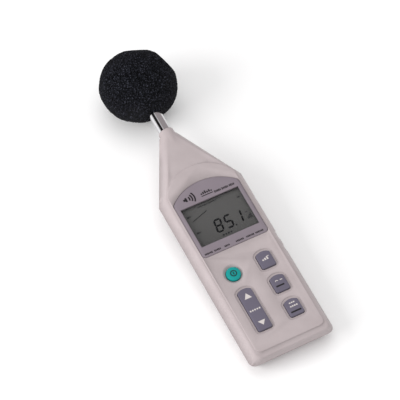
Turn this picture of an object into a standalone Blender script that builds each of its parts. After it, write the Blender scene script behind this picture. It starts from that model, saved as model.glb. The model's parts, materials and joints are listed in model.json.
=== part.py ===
"""Hand-held sound level meter with a foam windscreen, lying on its back.

The meter has its own axes while it is being built: X to the right, Y from the
base end towards the microphone, Z out of the display side, with the back of
the case at Z = 0. Everything hangs from one empty, which lays the meter down
as it rests on a table: on the lower edge of its base and on the windscreen.
"""

import math

import bmesh
import bpy
from mathutils import Matrix, Vector

MM = 0.001
GAP = 0.3 * MM  # clearance between pieces that touch

# Case: one straight grip, a tapered top and a round neck.
WIDTH = 72 * MM
THICKNESS = 21 * MM
WALL = 2 * MM
MID_Z = THICKNESS / 2  # parting plane and microphone axis
SHOULDER_Y = 150.5 * MM
TAPER = 0.52  # loss of half width per length, above the shoulders
CASE_TOP_Y = 205 * MM
CAVITY_END_Y = 186 * MM
NECK_END_Y = 209 * MM
CORNER = 5 * MM  # corners of the base end, seen from the front
END_ROUND = 1.6 * MM  # between the base end and the two large faces
SIDE_LEAN = 0.51  # each side leans in from the parting plane, to the front and to the back
SIDE_ROUND = 2.2 * MM  # between a side and a large face
NECK_ROUND = 4.8 * MM  # the same edge where it reaches the neck
NECK_LEAN = 0.86  # the lean of the sides where they reach the neck
REAR_END_LEAN = 0.35  # the rear half's base end leans in as well
END_BLEND = 30 * MM  # length over which that lean dies out

# Raised front panel.
PANEL_STEP = 0.8 * MM
PANEL_CORNER = 4.5 * MM
# The panel's rounded edge: (distance in from its outline, height), in mm.
PANEL_EDGE = ((0.0, 19.2), (0.0, 20.45), (0.1, 20.72), (0.35, 20.92), (0.75, 21.0))
PANEL_HALF = 29.2 * MM
PANEL_LOW_Y = 5 * MM
PANEL_ARCH = 33 * MM
PANEL_ARCH_Y = 135.5 * MM
FRONT_FALL = 0.109  # slope of the tapered top's front, outwards from the arch
BACK_FALL = 0.123
TIER_Z = THICKNESS - PANEL_STEP

# Display.
BEZEL_HALF = 28.4 * MM
BEZEL_LOW_Y = 92.4 * MM
BEZEL_HIGH_Y = 154 * MM
BEZEL_ARCH = 40.7 * MM
BEZEL_CORNER = 3 * MM
BEZEL_BACK_Z = 19.7 * MM
BEZEL_FRONT_Z = THICKNESS + 0.1 * MM
WINDOW_HALF = 25 * MM
WINDOW_LOW_Y = 101.7 * MM
WINDOW_HIGH_Y = 137 * MM
LENS_MARGIN = 1 * MM
LENS_THICK = 0.8 * MM
GLASS_HALF = 27 * MM
GLASS_LOW_Y = 98 * MM
GLASS_HIGH_Y = 141 * MM
GLASS_THICK = 1.3 * MM

# Keys.
KEY_COLUMN_X = 13.8 * MM
KEY_WIDTH = 11.9 * MM
KEY_HEIGHT = 14.3 * MM
KEY_ARCH = 9 * MM
KEY_CORNER = 1.6 * MM
KEY_TOP_Z = THICKNESS + 0.9 * MM
KEY_ROWS_Y = (71.7 * MM, 49.4 * MM, 27.1 * MM)
KEY_TRAVEL = 0.6 * MM
KEY_SIDE_GAP = 0.35 * MM
FLANGE = 0.9 * MM  # how far a key's hidden rim reaches past its hole
LEVEL_KEY_Y = 38.4 * MM
LEVEL_KEY_LENGTH = 37 * MM
POWER_KEY_Y = 71.6 * MM
POWER_KEY_RADIUS = 5.7 * MM
# Rounded wall of a key's well, from its floor to above the panel: (margin round the key, height), in mm.
WELL_PROFILE = ((1.4, 20.2), (1.75, 20.3), (2.0, 20.6), (2.2, 20.88), (2.45, 20.98), (3.0, 21.2))
# The dish round the power key, from the key's hole outwards: (radius, height), in mm.
DISH_PROFILE = ((6.05, 19.1), (6.9, 19.75), (7.6, 20.4), (8.0, 20.78), (8.35, 20.96), (9.0, 21.2))

# Circuit board and key mat, above the battery bay.
BOARD_BACK_Z = 14 * MM
BOARD_THICK = 1.2 * MM
BOARD_HALF = 26.5 * MM
BOARD_LOW_Y = 9 * MM
BOARD_HIGH_Y = 146 * MM
BOARD_FRONT_Z = BOARD_BACK_Z + BOARD_THICK
MAT_THICK = 0.7 * MM
MAT_BACK_Z = BOARD_FRONT_Z + GAP
KEY_BACK_Z = MAT_BACK_Z + MAT_THICK + GAP + KEY_TRAVEL
CAVITY_FRONT_Z = TIER_Z - WALL

# Battery bay: four AAA cells side by side, with their ends alternating.
CELL_RADIUS = 5.25 * MM
CELL_LENGTH = 44.5 * MM
CELL_PITCH = 11.1 * MM
COVER_THICK = 1.6 * MM
COVER_HALF = 24 * MM
COVER_END_Y = 65 * MM
CELL_Z = COVER_THICK + GAP + CELL_RADIUS
BAY_HALF = 22.4 * MM
BAY_LOW_Y = 9.5 * MM
BAY_HIGH_Y = 61 * MM
BAY_ROOF_Z = CELL_Z + CELL_RADIUS + GAP
BAY_WALL = 1 * MM
CONTACT_THICK = 0.4 * MM

# Screws that hold the two case halves together.
SCREW_PLACES = ((-26.5, 68.5), (26.5, 68.5), (-25, 150), (25, 150))
SCREW_HEAD_RADIUS = 2.7 * MM
SCREW_SHANK_RADIUS = 1.5 * MM
SCREW_HEAD_Z = 2 * MM
SCREW_SEAT_Z = 4 * MM
SCREW_TIP_Z = 16 * MM
REAR_BOSS_RADIUS = 4.1 * MM
FRONT_BOSS_RADIUS = 2.7 * MM
BOARD_SCREW_PLACES = ((-20, 87.5), (20, 87.5))

# Tripod bush in the back.
BUSH_Y = 105 * MM
BUSH_RADIUS = 4.8 * MM
BUSH_BORE_RADIUS = 3.175 * MM  # quarter-inch thread, modelled as a plain bore
BUSH_DEPTH = 7.5 * MM

# Sockets and the calibration trimmer, on the right side.
SOCKET_Z = 10.3 * MM
OUTPUT_JACK_Y = 78 * MM
POWER_JACK_Y = 90 * MM
TRIMMER_Y = 126 * MM

# Microphone and windscreen.
TUBE_RADIUS = 5.3 * MM
TUBE_BORE = 4.6 * MM
TUBE_LOW_Y = 188 * MM
TUBE_HIGH_Y = 238 * MM
CAPSULE_HIGH_Y = 252 * MM
MIC_TIP_Y = 265 * MM
# The round collar, which grows out of the sloping case: (radius, length along the meter), in mm.
COLLAR_PROFILE = (
    (0, 186),
    (4.0, 186),
    (5.9, 190),
    (6.7, 193),
    (6.95, 195),
    (6.85, 197),
    (6.2, 208.2),
    (6.0, 209),
    (0, 209),
)
SEAL_RADIUS = 6.1 * MM
SEAL_LOW_Y, SEAL_HIGH_Y = 189.5 * MM, 193 * MM
BALL_Y = 256 * MM
BALL_RADIUS = 30 * MM
BALL_SQUASH = 1 * MM  # how far the meter's weight flattens the foam
BALL_BORE_END_Y = 266 * MM

# The slope at which the back edge and the windscreen both touch the table.
FOOT_Y = END_ROUND + REAR_END_LEAN * MID_Z * (1 - END_ROUND / END_BLEND)
REACH = Vector((BALL_Y - FOOT_Y, MID_Z))
LIE_ANGLE = math.asin((BALL_RADIUS - BALL_SQUASH) / REACH.length) - math.atan2(REACH.y, REACH.x)

PALE_ABS = ("pale_abs", (0.56, 0.50, 0.50), 0.5, 0.0)
BEZEL_PLASTIC = ("bezel_plastic", (0.31, 0.27, 0.29), 0.45, 0.0)
KEY_PLASTIC = ("key_plastic", (0.19, 0.17, 0.21), 0.5, 0.0)
POWER_PLASTIC = ("power_key_plastic", (0.01, 0.36, 0.35), 0.35, 0.0)
CLEAR_ACRYLIC = ("clear_acrylic", (0.80, 0.82, 0.80), 0.05, 0.0)
LCD_GLASS = ("lcd_glass", (0.12, 0.12, 0.12), 0.15, 0.0)
BLACK_PLASTIC = ("black_plastic", (0.02, 0.02, 0.02), 0.5, 0.0)
BOARD_GREEN = ("board_laminate", (0.02, 0.15, 0.06), 0.5, 0.0)
SILICONE = ("silicone_rubber", (0.35, 0.35, 0.36), 0.7, 0.0)
BLACK_RUBBER = ("black_rubber", (0.02, 0.02, 0.02), 0.8, 0.0)
CHROME = ("chromed_steel", (0.70, 0.70, 0.71), 0.12, 1.0)
SCREW_STEEL = ("zinc_plated_steel", (0.45, 0.45, 0.46), 0.35, 1.0)
NICKEL = ("nickel_plated_spring_steel", (0.62, 0.60, 0.56), 0.3, 1.0)
BRASS = ("brass", (0.70, 0.50, 0.20), 0.35, 1.0)
CELL_SLEEVE = ("cell_sleeve", (0.10, 0.12, 0.16), 0.4, 0.2)
FOAM = ("charcoal_foam", (0.010, 0.010, 0.012), 1.0, 0.0)

for leftover in list(bpy.data.objects):
    bpy.data.objects.remove(leftover)


# ---------------------------------------------------------------- materials and objects


def material(name, colour, roughness, metallic):
    """The Principled BSDF material of this name, made once."""
    found = bpy.data.materials.get(name)
    if found:
        return found
    made = bpy.data.materials.new(name)
    made.use_nodes = True
    shader = made.node_tree.nodes["Principled BSDF"]
    shader.inputs["Base Color"].default_value = (*colour, 1.0)
    shader.inputs["Roughness"].default_value = roughness
    shader.inputs["Metallic"].default_value = metallic
    return made


def place_object(name, mesh, finish, location=(0, 0, 0), rotation=(0, 0, 0), sharp=30):
    """A named object of this mesh, hung from the lying frame."""
    mesh.materials.append(material(*finish))
    mesh.shade_smooth()
    mesh.set_sharp_from_angle(angle=math.radians(sharp))
    placed = bpy.data.objects.new(name, mesh)
    placed.location = location
    placed.rotation_euler = rotation
    placed.parent = lying_frame
    bpy.context.scene.collection.objects.link(placed)
    return placed


def boolean(target, mesh, operation):
    """Adds or cuts this mesh, which is in the meter's own axes, with a Boolean modifier."""
    count = len(target.modifiers)
    tool = bpy.data.objects.new(f"{target.name}_tool_{count}", mesh)
    tool.hide_render = True
    tool.display_type = "WIRE"
    tool.parent = lying_frame
    bpy.context.scene.collection.objects.link(tool)
    modifier = target.modifiers.new(f"{operation.lower()}_{count}", "BOOLEAN")
    modifier.operation = operation
    modifier.object = tool
    modifier.solver = "EXACT"


def cut(target, mesh):
    boolean(target, mesh, "DIFFERENCE")


def add(target, mesh):
    boolean(target, mesh, "UNION")


# ---------------------------------------------------------------- meshes


def finish_mesh(name, bm):
    """Turns the bmesh into a mesh, with its faces pointing out."""
    bmesh.ops.recalc_face_normals(bm, faces=bm.faces)
    mesh = bpy.data.meshes.new(name)
    bm.to_mesh(mesh)
    bm.free()
    return mesh


def box(low, high):
    """A box between two corners."""
    bm = bmesh.new()
    middle = (Vector(low) + Vector(high)) / 2
    size = Vector(high) - Vector(low)
    matrix = Matrix.Translation(middle) @ Matrix.Diagonal((*size, 1))
    bmesh.ops.create_cube(bm, size=1, matrix=matrix)
    return finish_mesh("box", bm)


def loft(rings):
    """Skins a row of closed rings that have the same number of points, and caps both ends."""
    bm = bmesh.new()
    rows = [[bm.verts.new(point) for point in ring] for ring in rings]
    for row, following in zip(rows, rows[1:]):
        for i, corner in enumerate(row):
            j = (i + 1) % len(row)
            bm.faces.new((corner, row[j], following[j], following[i]))
    bm.faces.new(rows[0])
    bm.faces.new(rows[-1])
    return finish_mesh("loft", bm)


def prism(outline, low_z, high_z, spread=0.0):
    """Extrudes an outline from low_z to high_z, growing it about its middle by the spread."""
    middle = sum((Vector(point) for point in outline), Vector((0, 0))) / len(outline)
    top = []
    for point in outline:
        away = Vector(point) - middle
        top.append(middle + away + away.normalized() * spread)
    return loft([[(x, y, low_z) for x, y in outline], [(x, y, high_z) for x, y in top]])


def turned(profile, segments=24):
    """Turns an open profile of (radius, height) about Z; it starts and ends on the axis."""
    bm = bmesh.new()
    rings = []
    for radius, height in profile:
        turns = [2 * math.pi * i / segments for i in range(segments if radius > 0 else 1)]
        rings.append([bm.verts.new((radius * math.cos(t), radius * math.sin(t), height)) for t in turns])
    for lower, upper in zip(rings, rings[1:]):
        point, ring = sorted((lower, upper), key=len)
        if len(point) == 1 and point[0].co.z == ring[0].co.z:
            bm.faces.new(ring)
            bm.verts.remove(point[0])
            continue
        for i in range(segments):
            j = (i + 1) % segments
            corners = [lower[i % len(lower)], lower[j % len(lower)], upper[j % len(upper)], upper[i % len(upper)]]
            bm.faces.new(list(dict.fromkeys(corners)))
    return finish_mesh("turned", bm)


def sleeve(inner, outer, low, high, segments=24):
    """A plain tube about Z."""
    bm = bmesh.new()
    corners = ((inner, low), (outer, low), (outer, high), (inner, high))
    turns = [2 * math.pi * i / segments for i in range(segments)]
    rings = [[bm.verts.new((r * math.cos(t), r * math.sin(t), z)) for t in turns] for r, z in corners]
    for k, ring in enumerate(rings):
        following = rings[(k + 1) % len(rings)]
        for i in range(segments):
            j = (i + 1) % segments
            bm.faces.new((ring[i], ring[j], following[j], following[i]))
    return finish_mesh("sleeve", bm)


def cylinder(radius, low, high, segments=24):
    return turned([(0, low), (radius, low), (radius, high), (0, high)], segments)


def moved(mesh, location=(0, 0, 0), rotation=(0, 0, 0)):
    """The mesh, turned and moved in the meter's own axes."""
    turn = Matrix.Rotation(rotation[2], 4, "Z") @ Matrix.Rotation(rotation[1], 4, "Y")
    turn = turn @ Matrix.Rotation(rotation[0], 4, "X")
    mesh.transform(Matrix.Translation(location) @ turn)
    return mesh


ALONG_Y = (-math.pi / 2, 0, 0)  # turns a shape from Z to +Y
ALONG_X = (0, math.pi / 2, 0)  # turns a shape from Z to +X


def arc(centre_x, centre_y, radius, start, end, steps):
    """Points of a circular arc, both ends included; angles in radians."""
    angles = (start + (end - start) * i / steps for i in range(steps + 1))
    return [(centre_x + radius * math.cos(a), centre_y + radius * math.sin(a)) for a in angles]


def arched_outline(x, low_y, high_y, half, arch, corner, steps=5, arch_steps=10):
    """A plate outline with straight sides, a straight lower edge, an arched top and round corners."""
    arch_y = high_y - arch
    corner_y = arch_y + math.sqrt((arch - corner) ** 2 - (half - corner) ** 2)
    lean = math.atan2(corner_y - arch_y, half - corner)
    right, left = x + half - corner, x - half + corner
    points = arc(right, low_y + corner, corner, -math.pi / 2, 0, steps)
    points += arc(right, corner_y, corner, 0, lean, steps)
    points += arc(x, arch_y, arch, lean, math.pi - lean, arch_steps)[1:-1]
    points += arc(left, corner_y, corner, math.pi - lean, math.pi, steps)
    points += arc(left, low_y + corner, corner, math.pi, 1.5 * math.pi, steps)
    return points


# ---------------------------------------------------------------- the case's own surface


def half_width(y, inset):
    """Half width of the case at the parting plane, or of its cavity when inset."""
    corner = CORNER - inset
    from_end = y - inset
    side = WIDTH / 2 - inset * math.hypot(1, SIDE_LEAN)
    if from_end < corner:
        return side - corner + math.sqrt(max(0.0, corner**2 - (corner - from_end) ** 2))
    taper = max(0.0, y - SHOULDER_Y)
    if taper > 0:
        side -= inset * (math.hypot(1, TAPER) - 1)
    return side - TAPER * taper


def end_rounding(y, inset):
    """How far the front and the back draw in near the base end."""
    radius = max(END_ROUND - inset, 0.0)
    from_end = y - inset
    if from_end >= radius:
        return 0.0
    return radius - math.sqrt(radius**2 - (radius - from_end) ** 2)


def front_z(x, y, inset):
    """Height of the front: flat, then a cone that falls away from the panel's arch."""
    outside = math.hypot(x, y - PANEL_ARCH_Y) - PANEL_ARCH if y > PANEL_ARCH_Y else 0.0
    return TIER_Z - inset - FRONT_FALL * max(0.0, outside) - end_rounding(y, inset)


def back_z(y, inset):
    """Height of the back: flat, then a slope towards the neck."""
    fall = max(0.0, y - PANEL_ARCH_Y - PANEL_ARCH)
    return inset + BACK_FALL * fall + end_rounding(y, inset)


def side_shape(y):
    """Radius of the long edges and lean of the sides, which both grow up the tapered top."""
    share = min(1.0, max(0.0, y - PANEL_ARCH_Y) / (CASE_TOP_Y - PANEL_ARCH_Y))
    return SIDE_ROUND + (NECK_ROUND - SIDE_ROUND) * share, SIDE_LEAN + (NECK_LEAN - SIDE_LEAN) * share


def side_profile(height, radius, side_lean):
    """A leaning side and its round edge: (distance outwards from the flat, height above the parting plane)."""
    lean = math.atan(side_lean)
    points = arc(0, height - radius, radius, lean, math.pi / 2, 5)
    first_out, first_up = points[0]
    return [(first_out + side_lean * first_up, 0)] + points


def case_ring(y, inset, end_lean):
    """The case's section at this length: flat front and back with leaning sides between them."""
    half = half_width(y, inset)
    radius, side_lean = side_shape(y)
    radius -= inset
    flats = 12
    front = side_profile(front_z(0, y, inset) - MID_Z, radius, side_lean)
    flat = half - front[0][0]
    ring = [(flat + out, y, MID_Z + up) for out, up in front[:-1]]
    for i in range(flats + 1):
        x = flat - 2 * flat * i / flats
        ring.append((x, y, front_z(x, y, inset)))
    ring += [(-x, y, z) for x, y, z in reversed(ring[: len(front) - 1])]
    back = side_profile(MID_Z - back_z(y, inset), radius, side_lean)
    flat = half - back[0][0]
    lower = [(flat + out, y, MID_Z - up) for out, up in back[1:]]
    ring += [(-x, y, z) for x, y, z in lower] + lower[::-1]
    blend = max(0.0, 1 - y / END_BLEND)
    return [(x, y + end_lean * blend * (MID_Z - z), z) for x, y, z in ring]


def case_surface(inset, last_y, end_lean=0.0):
    """The outside of the whole case, or its cavity when inset."""
    corner = [CORNER * part for part in (0.0, 0.025, 0.07, 0.14, 0.23, 0.34, 0.47, 0.62, 0.8, 1.0)]
    stations = [inset + y * (CORNER - inset) / CORNER for y in corner]
    stations += [PANEL_ARCH_Y, SHOULDER_Y]
    stations += [SHOULDER_Y + rise * MM for rise in (4, 8, 12, 15, 19, 26, 35)]
    stations = [y for y in stations if y < last_y] + [last_y]
    return loft([case_ring(y, inset, end_lean) for y in stations])


# ---------------------------------------------------------------- case pieces


def screw_columns(radius, low, high):
    """One round column for each case screw."""
    return [moved(cylinder(radius, low, high, 16), (x * MM, y * MM, 0)) for x, y in SCREW_PLACES]


def neck_collar():
    """The round collar around the microphone tube, about the microphone axis."""
    profile = [(radius * MM, y * MM) for radius, y in COLLAR_PROFILE]
    return moved(turned(profile, 48), (0, 0, MID_Z), ALONG_Y)


def tube_bore():
    """Room for the microphone tube, and for the seal around it in the neck."""
    radius = TUBE_RADIUS + GAP
    profile = [
        (0, TUBE_LOW_Y - 3 * MM),
        (radius, TUBE_LOW_Y - 3 * MM),
        (radius, SEAL_LOW_Y - GAP),
        (SEAL_RADIUS + GAP, SEAL_LOW_Y - GAP),
        (SEAL_RADIUS + GAP, SEAL_HIGH_Y + GAP),
        (radius, SEAL_HIGH_Y + GAP),
        (radius, NECK_END_Y + 1 * MM),
        (0, NECK_END_Y + 1 * MM),
    ]
    return moved(turned(profile, 32), (0, 0, MID_Z), ALONG_Y)


def side_openings():
    """Holes through the right side for the two sockets and for the trimmer's screwdriver."""
    holes = ((OUTPUT_JACK_Y, 3.0), (POWER_JACK_Y, 3.9), (TRIMMER_Y, 1.5))
    return [moved(cylinder(r * MM + GAP, 30 * MM, 40 * MM, 16), (0, y, SOCKET_Z), ALONG_X) for y, r in holes]


def half_space(low_z, high_z):
    """Everything on one side of the parting plane."""
    return box((-50 * MM, -20 * MM, low_z), (50 * MM, 230 * MM, high_z))


def key_outline(x, y, width, height, grow=0.0):
    """Outline of a key cap, or of its hole or well when grown."""
    low, high = y - height / 2 - grow, y + height / 2 + grow
    return arched_outline(x, low, high, width / 2 + grow, KEY_ARCH + grow, KEY_CORNER + grow)


def key_places():
    """Outline centre and size of the three right keys and the level key."""
    places = [(KEY_COLUMN_X, y, KEY_WIDTH, KEY_HEIGHT) for y in KEY_ROWS_Y]
    return places + [(-KEY_COLUMN_X, LEVEL_KEY_Y, KEY_WIDTH, LEVEL_KEY_LENGTH)]


def panel_outline(inset, z):
    """Outline of the raised front panel, drawn in by this much, at this height."""
    low, high = PANEL_LOW_Y + inset, PANEL_ARCH_Y + PANEL_ARCH - inset
    outline = arched_outline(0, low, high, PANEL_HALF - inset, PANEL_ARCH - inset, PANEL_CORNER - inset, 6, 24)
    return [(x, y, z) for x, y in outline]


def front_case():
    case = place_object("front_case", case_surface(0.0, CASE_TOP_Y), PALE_ABS)
    add(case, neck_collar())
    add(case, loft([panel_outline(inset * MM, z * MM) for inset, z in PANEL_EDGE]))
    cut(case, case_surface(WALL, CAVITY_END_Y))
    for column in screw_columns(FRONT_BOSS_RADIUS, MID_Z, CAVITY_FRONT_Z + 0.5 * MM):
        add(case, column)
    for x, y in BOARD_SCREW_PLACES:
        post = cylinder(2.2 * MM, BOARD_FRONT_Z + GAP, CAVITY_FRONT_Z + 0.5 * MM, 16)
        add(case, moved(post, (x * MM, y * MM, 0)))
        cut(case, moved(cylinder(1.2 * MM + GAP, MID_Z, 17.5 * MM, 12), (x * MM, y * MM, 0)))
    cut(case, half_space(-10 * MM, MID_Z + GAP / 2))
    cut(case, tube_bore())
    for column in screw_columns(SCREW_SHANK_RADIUS + GAP, 0, SCREW_TIP_Z + GAP):
        cut(case, column)
    for hole in side_openings():
        cut(case, hole)
    pocket = arched_outline(
        0, BEZEL_LOW_Y - GAP, BEZEL_HIGH_Y + GAP, BEZEL_HALF + GAP, BEZEL_ARCH + GAP, BEZEL_CORNER + GAP, 5, 20
    )
    cut(case, prism(pocket, BEZEL_BACK_Z - GAP, THICKNESS + 2 * MM))
    edge = LENS_MARGIN + GAP
    window_low = (-WINDOW_HALF - edge, WINDOW_LOW_Y - edge, MID_Z)
    window_high = (WINDOW_HALF + edge, WINDOW_HIGH_Y + edge, THICKNESS)
    cut(case, box(window_low, window_high))
    for place in key_places():
        rings = []
        for margin, z in WELL_PROFILE:
            rings.append([(x, y, z * MM) for x, y in key_outline(*place, margin * MM)])
        cut(case, loft(rings))
        cut(case, prism(key_outline(*place, KEY_SIDE_GAP), MID_Z, THICKNESS))
    dish = [(0, MID_Z), (POWER_KEY_RADIUS + KEY_SIDE_GAP, MID_Z)]
    dish += [(radius * MM, z * MM) for radius, z in DISH_PROFILE]
    dish.append((0, DISH_PROFILE[-1][1] * MM))
    cut(case, moved(turned(dish, 48), (-KEY_COLUMN_X, POWER_KEY_Y, 0)))


def rear_case():
    case = place_object("rear_case", case_surface(0.0, CASE_TOP_Y, REAR_END_LEAN), PALE_ABS)
    add(case, neck_collar())
    cut(case, case_surface(WALL, CAVITY_END_Y, REAR_END_LEAN))
    cut(case, half_space(MID_Z - GAP / 2, 40 * MM))
    for column in screw_columns(REAR_BOSS_RADIUS, 1 * MM, MID_Z - GAP / 2):
        add(case, column)
    bush_boss = cylinder(BUSH_RADIUS + 2 * MM, 1 * MM, BUSH_DEPTH + 2 * MM)
    add(case, moved(bush_boss, (0, BUSH_Y, 0)))
    bay_low = (-COVER_HALF - 2 * MM, BAY_LOW_Y - 2.5 * MM, 1 * MM)
    bay_high = (COVER_HALF + 2 * MM, BAY_HIGH_Y + 2.5 * MM, BAY_ROOF_Z + BAY_WALL)
    add(case, box(bay_low, bay_high))
    slot_low = (-COVER_HALF - GAP, -5 * MM, -5 * MM)
    slot_high = (COVER_HALF + GAP, COVER_END_Y + GAP, COVER_THICK + GAP)
    cut(case, box(slot_low, slot_high))
    cut(case, box((-BAY_HALF, BAY_LOW_Y, -5 * MM), (BAY_HALF, BAY_HIGH_Y, BAY_ROOF_Z)))
    cut(case, tube_bore())
    for column in screw_columns(SCREW_HEAD_RADIUS + GAP, -5 * MM, SCREW_SEAT_Z + GAP):
        cut(case, column)
    for column in screw_columns(SCREW_SHANK_RADIUS + GAP, 0, MID_Z + 1 * MM):
        cut(case, column)
    cut(case, moved(cylinder(BUSH_RADIUS + GAP, -5 * MM, BUSH_DEPTH + GAP), (0, BUSH_Y, 0)))
    for hole in side_openings():
        cut(case, hole)


def battery_cover():
    low = (-COVER_HALF, -5 * MM, -5 * MM)
    high = (COVER_HALF, COVER_END_Y, COVER_THICK)
    cover = place_object("battery_cover", box(low, high), PALE_ABS)
    boolean(cover, case_surface(0.0, CASE_TOP_Y, REAR_END_LEAN), "INTERSECT")
    for i in range(4):
        y = (46 + 3 * i) * MM
        cut(cover, box((-9 * MM, y, -1 * MM), (9 * MM, y + 1.4 * MM, 0.5 * MM)))


def case_screws():
    profile = [
        (0, SCREW_HEAD_Z),
        (SCREW_HEAD_RADIUS - 0.3 * MM, SCREW_HEAD_Z),
        (SCREW_HEAD_RADIUS, SCREW_HEAD_Z + 0.6 * MM),
        (SCREW_HEAD_RADIUS, SCREW_SEAT_Z),
        (SCREW_SHANK_RADIUS, SCREW_SEAT_Z),
        (SCREW_SHANK_RADIUS, SCREW_TIP_Z - 1.5 * MM),
        (0, SCREW_TIP_Z),
    ]
    for number, (x, y) in enumerate(SCREW_PLACES, 1):
        place_object(f"case_screw_{number}", turned(profile, 12), SCREW_STEEL, (x * MM, y * MM, 0))


def tripod_bush():
    profile = [
        (0, BUSH_DEPTH - 1 * MM),
        (BUSH_BORE_RADIUS, BUSH_DEPTH - 1 * MM),
        (BUSH_BORE_RADIUS, 0),
        (BUSH_RADIUS, 0),
        (BUSH_RADIUS, BUSH_DEPTH),
        (0, BUSH_DEPTH),
    ]
    place_object("tripod_bush", turned(profile), BRASS, (0, BUSH_Y, 0))


# ---------------------------------------------------------------- display


def display():
    outline = arched_outline(0, BEZEL_LOW_Y, BEZEL_HIGH_Y, BEZEL_HALF, BEZEL_ARCH, BEZEL_CORNER, 3, 10)
    bezel = place_object("display_bezel", prism(outline, BEZEL_BACK_Z, BEZEL_FRONT_Z), BEZEL_PLASTIC)
    window_low = (-WINDOW_HALF, WINDOW_LOW_Y, MID_Z)
    cut(bezel, box(window_low, (WINDOW_HALF, WINDOW_HIGH_Y, 2 * THICKNESS)))
    lens_z = BEZEL_BACK_Z - GAP
    lens_low = (-WINDOW_HALF - LENS_MARGIN, WINDOW_LOW_Y - LENS_MARGIN, lens_z - LENS_THICK)
    lens_high = (WINDOW_HALF + LENS_MARGIN, WINDOW_HIGH_Y + LENS_MARGIN, lens_z)
    place_object("display_lens", box(lens_low, lens_high), CLEAR_ACRYLIC)
    glass_z = CAVITY_FRONT_Z - GAP
    glass_low = (-GLASS_HALF, GLASS_LOW_Y, glass_z - GLASS_THICK)
    place_object("lcd_glass", box(glass_low, (GLASS_HALF, GLASS_HIGH_Y, glass_z)), LCD_GLASS)
    lcd_frame(glass_z - 0.7 * MM)
    strip_low_z, strip_high_z = BOARD_FRONT_Z + GAP, glass_z - GLASS_THICK - GAP
    for number, y in enumerate((GLASS_LOW_Y + 0.6 * MM, GLASS_HIGH_Y - 2.6 * MM), 1):
        strip = box((-24 * MM, y, strip_low_z), (24 * MM, y + 2 * MM, strip_high_z))
        place_object(f"elastomer_strip_{number}", strip, BLACK_RUBBER)


def lcd_frame(high_z):
    """Frame that locates the display glass on the board."""
    rim = 1.6 * MM
    low = (-GLASS_HALF - GAP - rim, GLASS_LOW_Y - GAP - rim, BOARD_FRONT_Z + GAP)
    high = (GLASS_HALF + GAP + rim, GLASS_HIGH_Y + GAP + rim, high_z)
    frame = place_object("lcd_frame", box(low, high), BLACK_PLASTIC)
    inner_low = (-GLASS_HALF - GAP, GLASS_LOW_Y - GAP, 0)
    cut(frame, box(inner_low, (GLASS_HALF + GAP, GLASS_HIGH_Y + GAP, THICKNESS)))


# ---------------------------------------------------------------- keys and board


def key_caps():
    """Square-shouldered keys, each with its origin on its own line of travel."""
    for name, y in zip(("max_key", "weighting_key", "response_key"), KEY_ROWS_Y):
        cap = prism(key_outline(0, 0, KEY_WIDTH, KEY_HEIGHT), 0, KEY_TOP_Z - KEY_BACK_Z)
        key = place_object(name, cap, KEY_PLASTIC, (KEY_COLUMN_X, y, KEY_BACK_Z))
        half_x, half_y = KEY_WIDTH / 2 + FLANGE, KEY_HEIGHT / 2 + FLANGE
        rim = box((-half_x, -half_y, 0), (half_x, half_y, CAVITY_FRONT_Z - GAP - KEY_BACK_Z))
        add(key, moved(rim, key.location))


def power_key():
    """Round domed key."""
    dome_rise = 0.9 * MM
    rim_z = CAVITY_FRONT_Z - GAP - KEY_BACK_Z
    edge_z = THICKNESS - 0.3 * MM - KEY_BACK_Z
    profile = [
        (0, 0),
        (POWER_KEY_RADIUS + FLANGE, 0),
        (POWER_KEY_RADIUS + FLANGE, rim_z),
        (POWER_KEY_RADIUS, rim_z),
        (POWER_KEY_RADIUS, edge_z),
        (POWER_KEY_RADIUS * 0.8, edge_z + dome_rise * 0.5),
        (POWER_KEY_RADIUS * 0.45, edge_z + dome_rise * 0.87),
        (0, edge_z + dome_rise),
    ]
    place_object("power_key", turned(profile), POWER_PLASTIC, (-KEY_COLUMN_X, POWER_KEY_Y, KEY_BACK_Z))


def level_key():
    """Rocker key, with its origin on the axis that it rocks about."""
    pivot_z = KEY_BACK_Z + 0.5 * MM
    outline = key_outline(0, 0, KEY_WIDTH, LEVEL_KEY_LENGTH)
    cap = prism(outline, KEY_BACK_Z - pivot_z, KEY_TOP_Z - pivot_z)
    key = place_object("level_key", cap, KEY_PLASTIC, (-KEY_COLUMN_X, LEVEL_KEY_Y, pivot_z))
    half_x = KEY_WIDTH / 2 + FLANGE
    ears = box((-half_x, -4 * MM, -0.5 * MM), (half_x, 4 * MM, CAVITY_FRONT_Z - GAP - pivot_z))
    add(key, moved(ears, key.location))


def board():
    low = (-BOARD_HALF, BOARD_LOW_Y, BOARD_BACK_Z)
    main = place_object("main_board", box(low, (BOARD_HALF, BOARD_HIGH_Y, BOARD_FRONT_Z)), BOARD_GREEN)
    for column in screw_columns(FRONT_BOSS_RADIUS + 0.5 * MM, MID_Z, THICKNESS):
        cut(main, column)
    for x, y in BOARD_SCREW_PLACES:
        cut(main, moved(cylinder(1.2 * MM + GAP, MID_Z, THICKNESS, 12), (x * MM, y * MM, 0)))
    mat_low = (-22.5 * MM, 15 * MM, MAT_BACK_Z)
    mat_high = (22.5 * MM, 84 * MM, MAT_BACK_Z + MAT_THICK)
    place_object("key_mat", box(mat_low, mat_high), SILICONE)
    chip_high_z = BOARD_BACK_Z - GAP
    chip = box((-7 * MM, 70 * MM, chip_high_z - 1.5 * MM), (7 * MM, 84 * MM, chip_high_z))
    place_object("main_chip", chip, BLACK_PLASTIC)


def board_screws():
    head_z = BOARD_BACK_Z - GAP
    profile = [
        (0, head_z - 1.4 * MM),
        (2.1 * MM, head_z - 1.4 * MM),
        (2.1 * MM, head_z),
        (1.2 * MM, head_z),
        (1.2 * MM, 16.8 * MM),
        (0, 16.8 * MM),
    ]
    for number, (x, y) in enumerate(BOARD_SCREW_PLACES, 1):
        place_object(f"board_screw_{number}", turned(profile, 12), SCREW_STEEL, (x * MM, y * MM, 0))


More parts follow.
